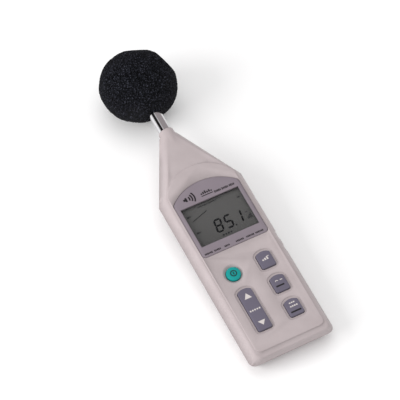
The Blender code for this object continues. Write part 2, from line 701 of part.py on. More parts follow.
# ---------------------------------------------------------------- battery bay


def cell_turns():
    """Each cell's place across the bay, and whether its button end points to the base."""
    return [((i - 1.5) * CELL_PITCH, i % 2 == 0) for i in range(4)]


def cells_and_springs():
    profile = [
        (0, 0),
        (CELL_RADIUS - 0.3 * MM, 0),
        (CELL_RADIUS, 0.3 * MM),
        (CELL_RADIUS, CELL_LENGTH - 1.3 * MM),
        (CELL_RADIUS - 0.3 * MM, CELL_LENGTH - 1 * MM),
        (1.9 * MM, CELL_LENGTH - 1 * MM),
        (1.9 * MM, CELL_LENGTH),
        (0, CELL_LENGTH),
    ]
    contact_low = BAY_LOW_Y + 2 * GAP + CONTACT_THICK
    contact_high = BAY_HIGH_Y - 2 * GAP - CONTACT_THICK
    spring_room = contact_high - contact_low - CELL_LENGTH - GAP
    for number, (x, button_down) in enumerate(cell_turns(), 1):
        cell_y = contact_low + CELL_LENGTH if button_down else contact_high - CELL_LENGTH
        turn = tuple(-angle for angle in ALONG_Y) if button_down else ALONG_Y
        place_object(f"battery_cell_{number}", turned(profile, 20), CELL_SLEEVE, (x, cell_y, CELL_Z), turn)
        spring_y = contact_high if button_down else contact_low
        towards = -1 if button_down else 1
        contact_spring(f"contact_spring_{number}", (x, spring_y, CELL_Z), spring_room, towards)


def contact_spring(name, foot, room, towards):
    """Conical wire spring from its contact plate to the flat end of a cell."""
    wire = 0.3 * MM
    turns, per_turn = 3, 8
    curve = bpy.data.curves.new(name, "CURVE")
    curve.dimensions = "3D"
    curve.bevel_depth = wire
    curve.bevel_resolution = 1
    curve.use_fill_caps = True
    spline = curve.splines.new("POLY")
    spline.points.add(turns * per_turn)
    for i, point in enumerate(spline.points):
        share = i / (turns * per_turn)
        radius = (3.6 - 1.2 * share) * MM
        angle = 2 * math.pi * i / per_turn
        along = towards * (wire * 1.2 + (room - 2.4 * wire) * share)
        point.co = (radius * math.cos(angle), along, radius * math.sin(angle), 1)
    curve.materials.append(material(*NICKEL))
    spring = bpy.data.objects.new(name, curve)
    spring.location = foot
    spring.parent = lying_frame
    bpy.context.scene.collection.objects.link(spring)


def contact_plates():
    """Flat plates at both ends of the bay, which join the four cells in series."""
    half = 4.4 * MM
    x = [place for place, _ in cell_turns()]
    low_y = BAY_LOW_Y + GAP
    high_y = BAY_HIGH_Y - GAP - CONTACT_THICK
    plates = {
        "base_contact_left": (x[0] - half, x[1] + half, low_y),
        "base_contact_right": (x[2] - half, x[3] + half, low_y),
        "top_contact_negative": (x[0] - half, x[0] + half, high_y),
        "top_contact_middle": (x[1] - half, x[2] + half, high_y),
        "top_contact_positive": (x[3] - half, x[3] + half, high_y),
    }
    for name, (left, right, y) in plates.items():
        plate = box((left, y, CELL_Z - half), (right, y + CONTACT_THICK, CELL_Z + half))
        place_object(name, plate, NICKEL)


# ---------------------------------------------------------------- side sockets and trimmer


def sockets():
    """Signal output socket and supply socket, behind holes in the right side."""
    body_low_z, body_high_z = SOCKET_Z - 3 * MM, BOARD_BACK_Z - GAP
    for name, y, nose, bore in (("output_jack", OUTPUT_JACK_Y, 3.0, 1.8), ("power_jack", POWER_JACK_Y, 3.9, 3.0)):
        half = (nose + 0.6) * MM
        body = box((23.5 * MM, y - half, body_low_z), (31.5 * MM, y + half, body_high_z))
        jack = place_object(name, body, BLACK_PLASTIC)
        add(jack, moved(cylinder(nose * MM, 30 * MM, 34.2 * MM, 16), (0, y, SOCKET_Z), ALONG_X))
        cut(jack, moved(cylinder(bore * MM, 26 * MM, 37 * MM, 16), (0, y, SOCKET_Z), ALONG_X))
        if name == "power_jack":
            add(jack, moved(cylinder(0.65 * MM, 25 * MM, 33.5 * MM, 12), (0, y, SOCKET_Z), ALONG_X))


def trimmer():
    """Calibration trimmer: a fixed body and a slotted rotor, which has its origin on its axis."""
    half = 3 * MM
    body_low = (25 * MM, TRIMMER_Y - half, SOCKET_Z - half)
    body = place_object("trimmer_body", box(body_low, (30 * MM, TRIMMER_Y + half, BOARD_BACK_Z - GAP)), BLACK_PLASTIC)
    cut(body, moved(cylinder(2 * MM, 27 * MM, 31 * MM, 16), (0, TRIMMER_Y, SOCKET_Z), ALONG_X))
    rotor = cylinder(1.7 * MM, 27.3 * MM, 31 * MM, 16)
    place = (0, TRIMMER_Y, SOCKET_Z)
    knob = place_object("trimmer_rotor", moved(rotor, (0, 0, 0), ALONG_X), BRASS, place)
    slot = box((30.3 * MM, -2 * MM, -0.3 * MM), (32 * MM, 2 * MM, 0.3 * MM))
    cut(knob, moved(slot, place))


# ---------------------------------------------------------------- microphone and windscreen


def microphone():
    axis = (0, 0, MID_Z)
    tube = sleeve(TUBE_BORE, TUBE_RADIUS, TUBE_LOW_Y, TUBE_HIGH_Y, 32)
    place_object("mic_tube", tube, CHROME, axis, ALONG_Y)
    seal = sleeve(TUBE_RADIUS + GAP, SEAL_RADIUS, SEAL_LOW_Y, SEAL_HIGH_Y, 32)
    place_object("neck_seal", seal, BLACK_RUBBER, axis, ALONG_Y)
    spigot = TUBE_BORE - GAP
    capsule = [
        (0, TUBE_HIGH_Y - 2 * MM),
        (spigot, TUBE_HIGH_Y - 2 * MM),
        (spigot, TUBE_HIGH_Y + GAP),
        (TUBE_RADIUS, TUBE_HIGH_Y + GAP),
        (TUBE_RADIUS, CAPSULE_HIGH_Y),
        (spigot, CAPSULE_HIGH_Y),
        (spigot, MIC_TIP_Y - 3 * MM),
        (0, MIC_TIP_Y - 3 * MM),
    ]
    place_object("mic_capsule", turned(capsule), CHROME, axis, ALONG_Y)
    grid = [
        (0, MIC_TIP_Y - 0.8 * MM),
        (TUBE_BORE, MIC_TIP_Y - 0.8 * MM),
        (TUBE_BORE, CAPSULE_HIGH_Y + GAP),
        (TUBE_RADIUS, CAPSULE_HIGH_Y + GAP),
        (TUBE_RADIUS, MIC_TIP_Y - 0.5 * MM),
        (TUBE_RADIUS - 0.5 * MM, MIC_TIP_Y),
        (0, MIC_TIP_Y),
    ]
    cap = place_object("mic_grid", turned(grid), CHROME, axis, ALONG_Y)
    for x, half_length in ((-2.2, 2.6), (0, 3.6), (2.2, 2.6)):
        slot_low = ((x - 0.4) * MM, MIC_TIP_Y - 1.2 * MM, MID_Z - half_length * MM)
        slot_high = ((x + 0.4) * MM, MIC_TIP_Y + 1 * MM, MID_Z + half_length * MM)
        cut(cap, box(slot_low, slot_high))
    board_low = (-3.8 * MM, TUBE_LOW_Y + 4 * MM, MID_Z - 0.5 * MM)
    board_high = (3.8 * MM, TUBE_HIGH_Y - 2 * MM - GAP, MID_Z + 0.5 * MM)
    place_object("preamp_board", box(board_low, board_high), BOARD_GREEN)


def windscreen():
    """Foam ball with a blind bore for the microphone, flattened a little where it rests."""
    bore = TUBE_RADIUS + GAP
    mouth = math.asin(bore / BALL_RADIUS)
    steps = 14
    profile = [(0, BALL_BORE_END_Y), (bore, BALL_BORE_END_Y)]
    for i in range(steps + 1):
        angle = mouth + (math.pi - mouth) * i / steps
        radius = 0 if i == steps else BALL_RADIUS * math.sin(angle)
        profile.append((radius, BALL_Y - BALL_RADIUS * math.cos(angle)))
    ball = moved(turned(profile, 28), (0, 0, MID_Z), ALONG_Y)
    bm = bmesh.new()
    bm.from_mesh(ball)
    down = Vector((0, -math.sin(LIE_ANGLE), -math.cos(LIE_ANGLE)))
    lowest = Vector((0, BALL_Y, MID_Z)) + down * (BALL_RADIUS - BALL_SQUASH)
    everything = list(bm.verts) + list(bm.edges) + list(bm.faces)
    sliced = bmesh.ops.bisect_plane(bm, geom=everything, plane_co=lowest, plane_no=down, clear_outer=True)
    rim = [item for item in sliced["geom_cut"] if isinstance(item, bmesh.types.BMEdge)]
    bmesh.ops.contextual_create(bm, geom=rim)
    place_object("windscreen", finish_mesh("windscreen", bm), FOAM)


# ---------------------------------------------------------------- assembly

lying_frame = bpy.data.objects.new("lying_frame", None)
bpy.context.scene.collection.objects.link(lying_frame)
lying_frame.rotation_euler = (LIE_ANGLE, 0, 0)
base_end_y = -(TIER_Z - END_ROUND) * math.sin(LIE_ANGLE)
ball_end_y = BALL_Y * math.cos(LIE_ANGLE) - MID_Z * math.sin(LIE_ANGLE) + BALL_RADIUS
lying_frame.location = (0, -(base_end_y + ball_end_y) / 2, -FOOT_Y * math.sin(LIE_ANGLE))

front_case()
rear_case()
battery_cover()
case_screws()
tripod_bush()
display()
key_caps()
power_key()
level_key()
board()
board_screws()
cells_and_springs()
contact_plates()
sockets()
trimmer()
microphone()
windscreen()
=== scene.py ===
"""Looks of a hand-held sound level meter with a foam windscreen, lying on its back.

Pieces are modelled in millimetres on the meter's own axes, X to the right, Y from the
base end to the microphone and Z out of the display side, and are then laid down with it.
"""

import json
import math

import bmesh
import bpy
from mathutils import Matrix, Vector, noise


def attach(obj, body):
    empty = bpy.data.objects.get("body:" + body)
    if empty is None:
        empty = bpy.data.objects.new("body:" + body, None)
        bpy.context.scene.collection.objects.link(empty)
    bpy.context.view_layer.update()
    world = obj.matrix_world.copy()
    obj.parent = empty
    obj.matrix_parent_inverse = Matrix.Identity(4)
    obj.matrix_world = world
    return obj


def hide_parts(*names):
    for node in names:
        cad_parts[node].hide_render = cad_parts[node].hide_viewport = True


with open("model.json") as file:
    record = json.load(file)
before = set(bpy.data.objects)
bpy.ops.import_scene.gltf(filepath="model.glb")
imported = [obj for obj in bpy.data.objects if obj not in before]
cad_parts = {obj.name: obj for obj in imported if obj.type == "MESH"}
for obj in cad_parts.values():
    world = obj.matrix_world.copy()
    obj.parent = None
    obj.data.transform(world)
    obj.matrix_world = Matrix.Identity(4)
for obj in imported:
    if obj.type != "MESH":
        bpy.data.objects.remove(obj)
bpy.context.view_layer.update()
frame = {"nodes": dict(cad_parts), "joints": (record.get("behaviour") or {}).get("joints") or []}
scene = bpy.context.scene

# ---------------------------------------------------------------- how the meter lies
# The meter rests on the lower edge of its base and on the windscreen, so its axes lean.
# The pull of the windscreen gives the lean, and the trimmer's axis gives the place.
MM = 0.001
TRIMMER_PLACE = Vector((0, 126, 10.3))

joints = {joint["name"]: joint for joint in frame["joints"]}
pull = joints["windscreen_pull"]["axis"]
lean = Matrix.Rotation(math.atan2(pull[2], pull[1]), 4, "X")
trimmer_at = Vector(joints["trimmer_turn"]["pos_m"])
lie = Matrix.Translation(trimmer_at - lean @ (TRIMMER_PLACE * MM)) @ lean @ Matrix.Scale(MM, 4)


# ---------------------------------------------------------------- floor, light and camera
# A plain pale table, lit by a large soft lamp on the left and a weaker one overhead.
# The camera has a long lens and looks down from the left of the base end.
CAMERA_SIDE = -30.905
CAMERA_ABOVE = 57.419
CAMERA_ROLL = 3.497
CAMERA_DISTANCE = 1.79997
CAMERA_LENS = 212.03
CAMERA_REACH = 20
VIEW_CENTRE = Vector((-0.009785, -0.009164, 0.038783))
FLOOR_HALF = 3.0
SPECKLES_PER_MM = 0.01
WORLD_GLOW = 0.8
# Place in metres, size in metres and power in watts of each lamp.
LAMPS = {
    "key_light": ((-1.55, 0.1, 0.85), 1.1, 21.0),
    "top_light": ((0.1, 0.6, 1.7), 1.4, 6.0),
}
# Place, size and glow of the cards: a black flag on the left and a grey card overhead.
CARDS = {
    "black_flag": ((-0.727, 0.436, 0.62), 0.72, 0.02),
    "grey_card": ((0.62, 0.5, 0.95), 1.9, 0.4),
}
WEAVES_PER_MM = 0.01


def srgb(code):
    """A hex colour as the linear values that a socket takes."""
    parts = [int(code[i : i + 2], 16) / 255 for i in (1, 3, 5)]
    return [p / 12.92 if p <= 0.04045 else ((p + 0.055) / 1.055) ** 2.4 for p in parts] + [1.0]


def node(tree, kind, sockets=None, **settings):
    """Adds a node with its settings, and sets or links its input sockets."""
    made = tree.nodes.new("ShaderNode" + kind)
    for name, value in settings.items():
        setattr(made, name, value)
    for name, value in (sockets or {}).items():
        if isinstance(value, bpy.types.NodeSocket):
            tree.links.new(value, made.inputs[name])
        else:
            made.inputs[name].default_value = value
    return made


def new_material(name):
    """An empty node material and its tree."""
    made = bpy.data.materials.new(name)
    made.use_nodes = True
    made.node_tree.nodes.clear()
    return made, made.node_tree


def own_place(tree, turn=(0, 0, 0), stretch=(1, 1, 1)):
    """Object coordinates in millimetres, turned or stretched for a pattern that has a grain."""
    place = node(tree, "TexCoord").outputs["Object"]
    scale = [share / MM for share in stretch]
    return node(tree, "Mapping", {"Vector": place, "Rotation": turn, "Scale": scale}).outputs["Vector"]


def flat_sheet(name, size, material, matrix=Matrix()):
    """A square sheet of the stage."""
    bm = bmesh.new()
    bmesh.ops.create_grid(bm, x_segments=1, y_segments=1, size=size / 2, matrix=matrix)
    mesh = bpy.data.meshes.new(name)
    bm.to_mesh(mesh)
    bm.free()
    mesh.materials.append(material)
    made = bpy.data.objects.new(name, mesh)
    scene.collection.objects.link(made)
    return made


camera = bpy.data.objects.new("camera", bpy.data.cameras.new("camera"))
scene.collection.objects.link(camera)
side, above = math.radians(CAMERA_SIDE), math.radians(CAMERA_ABOVE)
back = Vector((math.sin(side) * math.cos(above), -math.cos(side) * math.cos(above), math.sin(above)))
roll = Matrix.Rotation(math.radians(CAMERA_ROLL), 3, "Z").to_quaternion()
camera.rotation_mode = "QUATERNION"
camera.rotation_quaternion = back.to_track_quat("Z", "Y") @ roll
camera.location = VIEW_CENTRE + back * CAMERA_DISTANCE
camera.data.lens = CAMERA_LENS
camera.data.clip_end = CAMERA_REACH
scene.camera = camera

# Matt white laminate: an even pale tone, with a speckle far coarser than a real one and very faint.
laminate, tree = new_material("white_matt_laminate")
speckle = node(tree, "TexNoise", {"Vector": own_place(tree), "Scale": SPECKLES_PER_MM, "Detail": 2.0})
tone = node(
    tree,
    "Mix",
    {"Factor": speckle.outputs["Fac"], "A": srgb("#F7F6F6"), "B": srgb("#FAFAFA")},
    data_type="RGBA",
)
skin = node(tree, "BsdfPrincipled", {"Base Color": tone.outputs["Result"], "Roughness": 0.7})
node(tree, "OutputMaterial", {"Surface": skin.outputs["BSDF"]})
floor = flat_sheet("floor", 2 * FLOOR_HALF, laminate)

scene.world = bpy.data.worlds.new("studio")
scene.world.use_nodes = True
glow = scene.world.node_tree.nodes["Background"]
glow.inputs["Color"].default_value = srgb("#FFFFFF")
glow.inputs["Strength"].default_value = WORLD_GLOW
scene.view_settings.view_transform = "Standard"

for name, (place, size, power) in LAMPS.items():
    lamp = bpy.data.lights.new(name, "AREA")
    lamp.size = size
    lamp.energy = power
    holder = bpy.data.objects.new(name, lamp)
    scene.collection.objects.link(holder)
    holder.location = place
    holder.rotation_euler = Vector(place).to_track_quat("Z", "Y").to_euler()
    holder.visible_glossy = False

# Card cloth: a soft, nearly even glow, which only bright metal and gloss mirror.
for name, (place, size, strength) in CARDS.items():
    cloth, tree = new_material(name + "_cloth")
    weave = node(tree, "TexNoise", {"Vector": own_place(tree), "Scale": WEAVES_PER_MM})
    tint = node(
        tree,
        "Mix",
        {"Factor": weave.outputs["Fac"], "A": srgb("#FFF4F5"), "B": srgb("#F2E8EA")},
        data_type="RGBA",
    )
    shine = node(tree, "Emission", {"Color": tint.outputs["Result"], "Strength": strength})
    node(tree, "OutputMaterial", {"Surface": shine.outputs["Emission"]})
    facing = Vector(place).to_track_quat("Z", "Y").to_matrix().to_4x4()
    card = flat_sheet(name, size, cloth, Matrix.Translation(place) @ facing)
    card.visible_camera = False
    card.visible_diffuse = False
    card.visible_shadow = False
    card.visible_transmission = False


# ---------------------------------------------------------------- case halves and battery door
# Two shells and a sliding door, injection moulded in warm light grey ABS, with every
# outer edge slightly rounded by the mould. Four screws from the back hold the shells.
CASE_GRAIN = 0.5
CLOUDS_PER_MM = 0.06
GLOSS_SWING = 0.08
SHELL_CREASE = 26
CREASE = 38
DOUBLES_GAP, SLIVER_GAP = 0.002, 0.03
FLAT_AREA, FLAT_BEND, FOLD_BEND = 40, 0.5, 3


def moulded(name, code, roughness, grain, relief, mottle, mottle_share, shine=0.5):
    """Moulded plastic, rubber or ink: a fine skin grain, with faint clouds in tone and gloss."""
    made, tree = new_material(name)
    place = own_place(tree)
    fine = node(tree, "TexNoise", {"Vector": place, "Scale": 1 / grain, "Detail": 3.0, "Roughness": 0.6})
    cloud = node(
        tree, "TexNoise", {"Vector": place, "Scale": CLOUDS_PER_MM, "Detail": 4.0, "Roughness": 0.55}
    )
    share = node(
        tree,
        "MapRange",
        {
            "Value": cloud.outputs["Fac"],
            "From Min": 0.35,
            "From Max": 0.7,
            "To Min": 0.0,
            "To Max": mottle_share,
        },
    )
    tone = node(
        tree,
        "Mix",
        {"Factor": share.outputs["Result"], "A": srgb(code), "B": srgb(mottle)},
        data_type="RGBA",
    )
    gloss = node(
        tree,
        "MapRange",
        {
            "Value": fine.outputs["Fac"],
            "To Min": roughness - GLOSS_SWING,
            "To Max": roughness + GLOSS_SWING,
        },
    )
    bump = node(
        tree, "Bump", {"Height": fine.outputs["Fac"], "Strength": 1.0, "Distance": relief * MM}
    )
    skin = node(
        tree,
        "BsdfPrincipled",
        {
            "Base Color": tone.outputs["Result"],
            "Roughness": gloss.outputs["Result"],
            "Normal": bump.outputs["Normal"],
            "IOR": 1.53,
            "Specular IOR Level": shine,
        },
    )
    node(tree, "OutputMaterial", {"Surface": skin.outputs["BSDF"]})
    return made


def lay_down(bm, name, material, matrix=lie, crease=CREASE):
    """Makes a piece from a mesh on the meter's own axes, laid down with the meter."""
    bmesh.ops.transform(bm, matrix=matrix, verts=bm.verts)
    mesh = bpy.data.meshes.new(name)
    bm.to_mesh(mesh)
    bm.free()
    mesh.materials.append(material)
    mesh.shade_smooth()
    mesh.set_sharp_from_angle(angle=math.radians(crease))
    made = bpy.data.objects.new(name, mesh)
    scene.collection.objects.link(made)
    return made


def smooth_copy(source, name, material):
    """A merged copy of a CAD node, whose small rounds shade smoothly."""
    bm = bmesh.new()
    bm.from_mesh(frame["nodes"][source].data)
    bmesh.ops.remove_doubles(bm, verts=bm.verts, dist=DOUBLES_GAP * MM)
    bmesh.ops.dissolve_degenerate(bm, dist=SLIVER_GAP * MM, edges=bm.edges)
    bmesh.ops.triangulate(bm, faces=[f for f in bm.faces if len(f.verts) > 3])
    bmesh.ops.recalc_face_normals(bm, faces=bm.faces)
    return lay_down(bm, name, material, Matrix(), SHELL_CREASE)


def keep_flats(mesh):
    """Marks the folds round each large flat sharp, so that no round nearby tilts its shading."""
    bm = bmesh.new()
    bm.from_mesh(mesh)
    flat_of = {}
    for first in bm.faces:
        if first in flat_of:
            continue
        flat = [first]
        flat_of[first] = flat
        for face in flat:
            for edge in face.edges:
                if edge.calc_face_angle(0) >= math.radians(FLAT_BEND):
                    continue
                for other in edge.link_faces:
                    if other not in flat_of:
                        flat_of[other] = flat
                        flat.append(other)
    area = {face: sum(f.calc_area() for f in flat) / MM**2 for face, flat in flat_of.items()}
    for edge in bm.edges:
        largest = max(area[face] for face in edge.link_faces)
        if largest > FLAT_AREA and edge.calc_face_angle(0) > math.radians(FOLD_BEND):
            edge.smooth = False
    bm.to_mesh(mesh)
    bm.free()


# ABS with a spark-eroded skin: a soft sheen broken by an even grain. The grain is drawn
# coarser than a real one, which is too fine to show.
case_abs = moulded("abs_moulded_warm_grey", "#B0A5A6", 0.55, CASE_GRAIN, 0.03, "#978B8C", 0.25, 0.35)
front_shell = smooth_copy("front_case", "front_shell", case_abs)
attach(front_shell, "meter")
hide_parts("front_case")
rear_shell = smooth_copy("rear_case", "rear_shell", case_abs)
keep_flats(rear_shell.data)
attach(rear_shell, "meter")
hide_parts("rear_case")
battery_door = smooth_copy("battery_cover", "battery_door", case_abs)
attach(battery_door, "battery_cover")
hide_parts("battery_cover")


# ---------------------------------------------------------------- display bezel and its print
# A mauve grey plate with an arched top and sloping edges, moulded in ABS and screen
# printed: a sound wave sign, a small bar sign and rows of plain dashes, and no lettering.
BEZEL_LOW, BEZEL_HIGH = 92.4, 154.0
BEZEL_HALF, BEZEL_ARCH, BEZEL_CORNER = 28.4, 40.7, 3.0
BEZEL_BACK_Z, BEZEL_TOP_Z = 19.7, 21.1
BEZEL_SLOPE, WINDOW_ROUND = 0.9, 0.35
BEZEL_ARCH_STEPS, ARCH_STEPS = 48, 24
WINDOW_HALF, WINDOW_LOW, WINDOW_HIGH = 25.0, 101.7, 137.0
NEAR, LEVEL_NEAR, SQUARE_EDGE = 0.1, 1e-4, 1.0
PRINT_THICK = 0.04
SOUND_X, SOUND_Y = -16.8, 143.2
WAVE_RADII, WAVE_WIDTH, WAVE_SPREAD = (2.2, 4.3, 6.4), 1.2, 1.24
BAR_SIGN_X, BAR_SIGN_Y, BAR_SIGN_PITCH = -3.9, 142.1, 1.7
BAR_SIGN_HEIGHTS = (1.2, 2.0, 2.6, 1.6, 2.2, 1.1)
DASH_WIDTH, DASH_PITCH = 0.85, 1.15
# Middle and height of each row of dashes, then where its groups start and how many they have.
DASH_ROWS = (
    (140.3, 2.0, ((6.6, 5), (13.0, 5), (19.4, 4))),
    (94.9, 1.6, ((-25.6, 6), (-17.4, 5), (-8.6, 4), (1.2, 6), (10.2, 6), (18.2, 6))),
)


def tombstone(bm, x, low_y, high_y, half, arch, corner, z, steps=ARCH_STEPS):
    """Adds a flat face with straight sides and foot, an arched head and rounded corners."""
    old_edges, old_faces = set(bm.edges), set(bm.faces)
    middle = Vector((x, high_y - arch, z))
    turn = 2 * math.asin(half / arch)
    start = bm.verts.new((x + half, middle.y + math.sqrt(arch**2 - half**2), z))
    head = bmesh.ops.spin(bm, geom=[start], cent=middle, axis=(0, 0, 1), angle=turn, steps=steps)
    end = next(item for item in head["geom_last"] if isinstance(item, bmesh.types.BMVert))
    feet = [bm.verts.new((x - half, low_y, z)), bm.verts.new((x + half, low_y, z))]
    for pair in ((end, feet[0]), feet, (feet[1], start)):
        bm.edges.new(pair)
    bmesh.ops.contextual_create(bm, geom=[e for e in bm.edges if e not in old_edges])
    bmesh.ops.bevel(
        bm,
        geom=[start, end] + feet,
        offset=corner,
        offset_type="OFFSET",
        segments=8,
        profile=0.5,
        affect="VERTICES",
        material=-1,
    )
    face = next(f for f in bm.faces if f not in old_faces)
    face.normal_update()
    if face.normal.z < 0:
        face.normal_flip()
    return face


def raise_faces(bm, faces, height):
    """Pulls faces up into a solid step and gives back the faces on top."""
    pulled = bmesh.ops.extrude_face_region(bm, geom=faces)["geom"]
    lifted = [item for item in pulled if isinstance(item, bmesh.types.BMVert)]
    bmesh.ops.translate(bm, verts=lifted, vec=(0, 0, height))
    return [item for item in pulled if isinstance(item, bmesh.types.BMFace)]


def on_window(vert):
    """Whether a corner lies on the window's opening and not on the plate's outline."""
    return abs(vert.co.x) < WINDOW_HALF + NEAR and WINDOW_LOW - NEAR < vert.co.y < WINDOW_HIGH + NEAR


bm = bmesh.new()
outline = (BEZEL_LOW, BEZEL_HIGH, BEZEL_HALF, BEZEL_ARCH, BEZEL_CORNER, BEZEL_BACK_Z)
tombstone(bm, 0, *outline, BEZEL_ARCH_STEPS)
window = [
    bm.verts.new((x, y, BEZEL_BACK_Z))
    for x, y in (
        (-WINDOW_HALF, WINDOW_LOW),
        (WINDOW_HALF, WINDOW_LOW),
        (WINDOW_HALF, WINDOW_HIGH),
        (-WINDOW_HALF, WINDOW_HIGH),
    )
]
for pair in zip(window, window[1:] + window[:1]):
    bm.edges.new(pair)
bmesh.ops.delete(bm, geom=list(bm.faces), context="FACES_ONLY")
bmesh.ops.triangle_fill(bm, edges=bm.edges, use_beauty=True, normal=(0, 0, 1))
raise_faces(bm, list(bm.faces), BEZEL_TOP_Z - BEZEL_BACK_Z)
bmesh.ops.recalc_face_normals(bm, faces=bm.faces)
rim = [
    e
    for e in bm.edges
    if all(abs(v.co.z - BEZEL_TOP_Z) < LEVEL_NEAR for v in e.verts)
    and abs(e.calc_face_angle(0)) > SQUARE_EDGE
]
window_rim = [e for e in rim if all(on_window(v) for v in e.verts)]
outer_rim = [e for e in rim if e not in window_rim]
for edges, offset, segments in ((outer_rim, BEZEL_SLOPE, 2), (window_rim, WINDOW_ROUND, 3)):
    bmesh.ops.bevel(
        bm,
        geom=[e for e in edges if e.is_valid],
        offset=offset,
        offset_type="OFFSET",
        segments=segments,
        profile=0.5,
        affect="EDGES",
        material=-1,
    )
# Satin ABS: darker and smoother than the case, so its slopes catch a soft line of light.
bezel_abs = moulded("abs_satin_mauve_grey", "#827880", 0.45, 0.4, 0.012, "#70666D", 0.25, 0.3)
bezel_plate = lay_down(bm, "bezel_plate", bezel_abs)
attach(bezel_plate, "meter")
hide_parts("display_bezel")


def bar(bm, x, y, width, height, z, thick=PRINT_THICK, turn=0.0):
    """A thin flat bar of print, centred at x, y."""
    made = bmesh.ops.create_cube(bm, size=1.0)["verts"]
    shape = Matrix.Translation((x, y, z + thick / 2)) @ Matrix.Rotation(turn, 4, "Z")
    bmesh.ops.transform(bm, matrix=shape @ Matrix.Diagonal((width, height, thick, 1)), verts=made)


def ring(bm, x, y, inner, outer, z, start, turn, steps, thick=PRINT_THICK):
    """A thin flat arc of print round a centre, or a whole ring when the turn is full."""
    corners = [
        bm.verts.new((x + r * math.cos(start), y + r * math.sin(start), h))
        for r, h in ((inner, z), (outer, z), (outer, z + thick), (inner, z + thick))
    ]
    full = math.isclose(turn, math.tau)
    if full:
        section = corners + [bm.edges.new(pair) for pair in zip(corners, corners[1:] + corners[:1])]
    else:
        section = [bm.faces.new(corners)]
    bmesh.ops.spin(
        bm, geom=section, cent=(x, y, 0), axis=(0, 0, 1), angle=turn, steps=steps, use_merge=full
    )


bm = bmesh.new()
z = BEZEL_TOP_Z
bar(bm, SOUND_X - 1.6, SOUND_Y, 1.7, 1.9, z)
bar(bm, SOUND_X - 0.1, SOUND_Y, 1.6, 3.6, z)
for radius in WAVE_RADII:
    ring(bm, SOUND_X, SOUND_Y, radius, radius + WAVE_WIDTH, z, -WAVE_SPREAD / 2, WAVE_SPREAD, 10)
for i, height in enumerate(BAR_SIGN_HEIGHTS):
    bar(bm, BAR_SIGN_X + BAR_SIGN_PITCH * i, BAR_SIGN_Y + height / 2, 1.2, height, z)
bar(bm, BAR_SIGN_X + 4.2, BAR_SIGN_Y - 1.3, 9.8, 0.7, z)
for y, height, groups in DASH_ROWS:
    for start, count in groups:
        for i in range(count):
            uneven = 0.75 + 0.25 * ((i * 7 + count) % 3) / 2
            bar(bm, start + DASH_PITCH * i, y, DASH_WIDTH, height * uneven, z)
bmesh.ops.recalc_face_normals(bm, faces=bm.faces)
# Screen print ink: flat charcoal, with a little less shine than the plate.
print_ink = moulded("screen_print_ink_charcoal", "#221E21", 0.45, 0.3, 0.004, "#3A3437", 0.35, 0.2)
bezel_print = lay_down(bm, "bezel_print", print_ink)
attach(bezel_print, "meter")


# ---------------------------------------------------------------- lens, LCD and its reading
# A clear acrylic lens over a reflective liquid crystal cell, which sits in a black frame
# on two rubber strips. The reading is a number in slanted bars, with small plain signs.
LCD_TOP_Z = 17.9
SIGN_Z = LCD_TOP_Z + 0.03
DIGIT_HEIGHT, DIGIT_WIDTH, STROKE = 10.4, 5.0, 1.5
STROKE_GAP = 0.25
DIGIT_PITCH = 8.6
DIGIT_BASE_Y = 109.0
FIRST_DIGIT_X = -4.2
POINT_SIZE = 1.2
SLANT = 0.14
# Which bars of each digit are lit, and each bar's middle and whether it stands upright.
READING = (("8", "abcdefg"), ("5", "acdfg"), ("1", "bc"))
BARS = {
    "a": (0, DIGIT_HEIGHT, False),
    "b": (DIGIT_WIDTH / 2, 0.75 * DIGIT_HEIGHT, True),
    "c": (DIGIT_WIDTH / 2, 0.25 * DIGIT_HEIGHT, True),
    "d": (0, 0, False),
    "e": (-DIGIT_WIDTH / 2, 0.25 * DIGIT_HEIGHT, True),
    "f": (-DIGIT_WIDTH / 2, 0.75 * DIGIT_HEIGHT, True),
    "g": (0, DIGIT_HEIGHT / 2, False),
}
SMEARS_PER_MM = 0.09
FLECKS_PER_MM = 1.4
# Ends of the cell's painted light gradient, along the meter from the middle of the whole.
PAINTED_LIGHT_LOW, PAINTED_LIGHT_HIGH = -45.0, -5.0


def coat(name, material):
    """Gives a CAD node that keeps its shape its material."""
    mesh = frame["nodes"][name].data
    mesh.materials.clear()
    mesh.materials.append(material)


# Hard coated acrylic: almost nothing but a sharp reflection with faint smears.
clear_acrylic, tree = new_material("clear_acrylic_hard_coated")
smear = node(tree, "TexNoise", {"Vector": own_place(tree), "Scale": SMEARS_PER_MM, "Detail": 3.0})
gloss = node(tree, "MapRange", {"Value": smear.outputs["Fac"], "To Min": 0.04, "To Max": 0.12})
skin = node(
    tree,
    "BsdfPrincipled",
    {"Base Color": srgb("#303234"), "Roughness": gloss.outputs["Result"], "IOR": 1.49, "Alpha": 0.06},
)
node(tree, "OutputMaterial", {"Surface": skin.outputs["BSDF"]})
coat("display_lens", clear_acrylic)

# Polariser film over a reflective cell: a dull grey with faint flecks, and painted light that makes it
# lighter towards the top.
lcd_cell, tree = new_material("lcd_cell_grey_polariser")
back_to_meter = lean.inverted().to_euler()
along = own_place(tree, turn=back_to_meter)
split = node(tree, "SeparateXYZ", {"Vector": along})
# Painted light: the grey turns lighter towards the top end of the cell.
painted_light_ramp = node(
    tree, "MapRange", {"Value": split.outputs["Y"], "From Min": PAINTED_LIGHT_LOW, "From Max": PAINTED_LIGHT_HIGH}
)
grey = node(
    tree,
    "Mix",
    {"Factor": painted_light_ramp.outputs["Result"], "A": srgb("#565554"), "B": srgb("#5F5E5D")},
    data_type="RGBA",
)
fleck = node(tree, "TexNoise", {"Vector": along, "Scale": FLECKS_PER_MM, "Detail": 2.0})
fade = node(tree, "MapRange", {"Value": fleck.outputs["Fac"], "To Min": 0.0, "To Max": 0.16})
grey = node(
    tree,
    "Mix",
    {"Factor": fade.outputs["Result"], "A": grey.outputs["Result"], "B": srgb("#4B4B4E")},
    data_type="RGBA",
)
skin = node(
    tree,
    "BsdfPrincipled",
    {"Base Color": grey.outputs["Result"], "Roughness": 0.3, "IOR": 1.5, "Specular IOR Level": 0.08},
)
